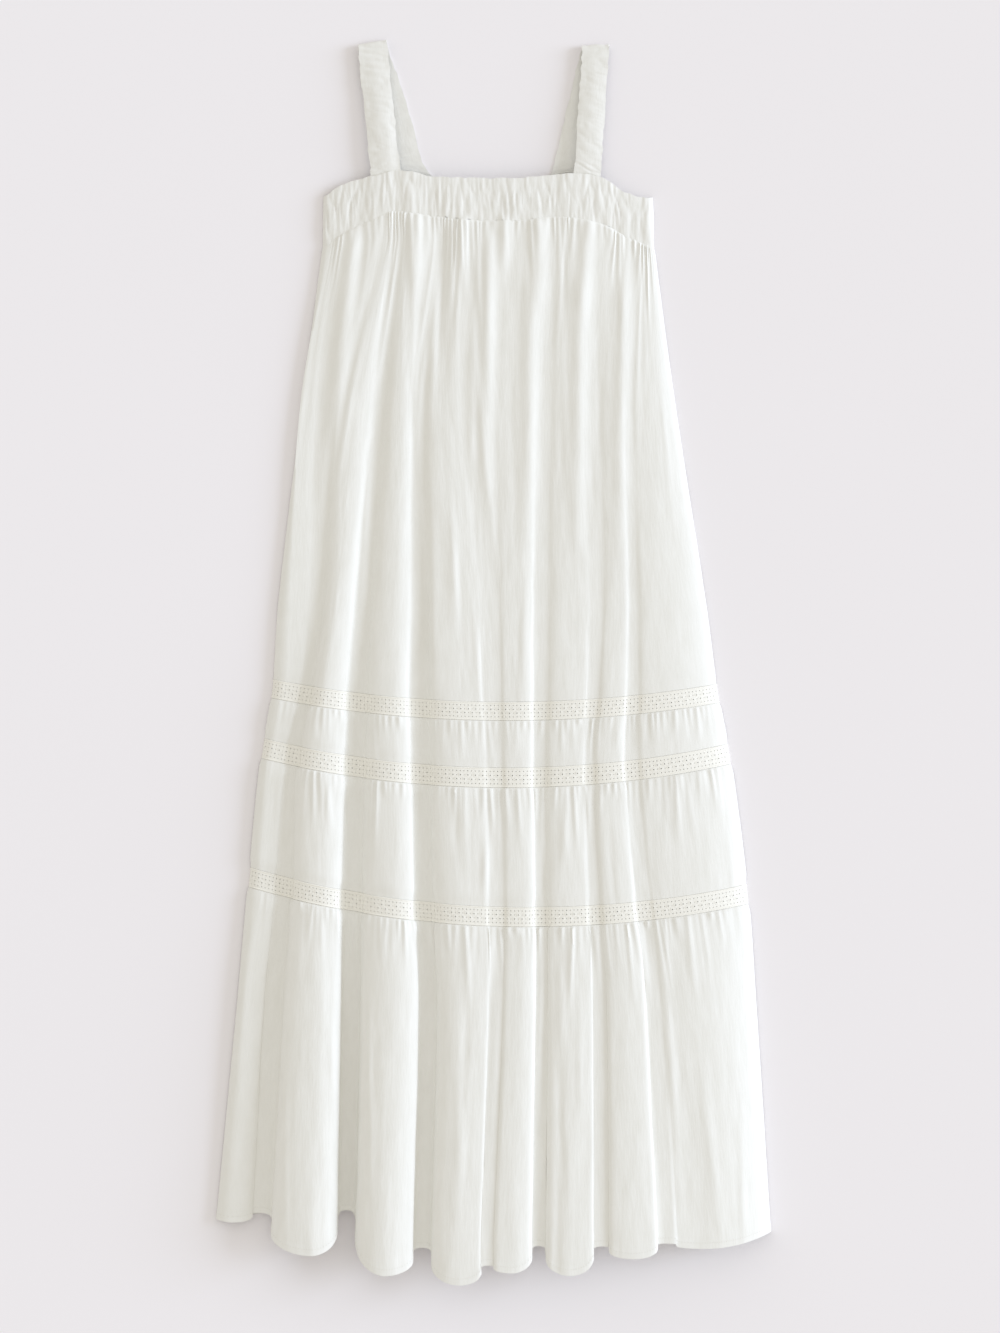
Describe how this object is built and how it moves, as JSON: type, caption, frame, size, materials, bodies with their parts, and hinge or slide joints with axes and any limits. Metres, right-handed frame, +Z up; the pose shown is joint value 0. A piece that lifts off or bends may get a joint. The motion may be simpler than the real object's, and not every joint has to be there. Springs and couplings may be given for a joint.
{
  "type": "tiered maxi dress, laid flat",
  "caption": "Sleeveless tiered maxi dress in white crinkle cotton, laid flat, with a ruched band and straps, lace insertions and a fluted hem.",
  "frame": {"origin": "centre of the laid-out dress on the surface that it lies on", "axes": "+Y from the hem up to the straps, +X to the right of a viewer who looks down at the front, +Z up from the surface, out of the front"},
  "size_m": [0.5903, 1.3277, 0.0419],
  "materials": {
    "cotton": "matte crinkled cotton",
    "shirring": "matte cotton ruched on elastic",
    "lace": "fine cotton insertion lace with corded edges"
  },
  "bodies": {
    "root": {"band_front": "shirring", "band_back": "shirring", "strap_left": "shirring", "strap_right": "shirring", "tier1_front": "cotton", "tier1_back": "cotton", "lace1_front": "lace", "lace1_back": "lace", "tier2_front": "cotton", "tier2_back": "cotton", "lace2_front": "lace", "lace2_back": "lace", "tier3_front": "cotton", "tier3_back": "cotton", "lace3_front": "lace", "lace3_back": "lace", "tier4_front": "cotton", "tier4_back": "cotton"}
  },
  "joints": []
}
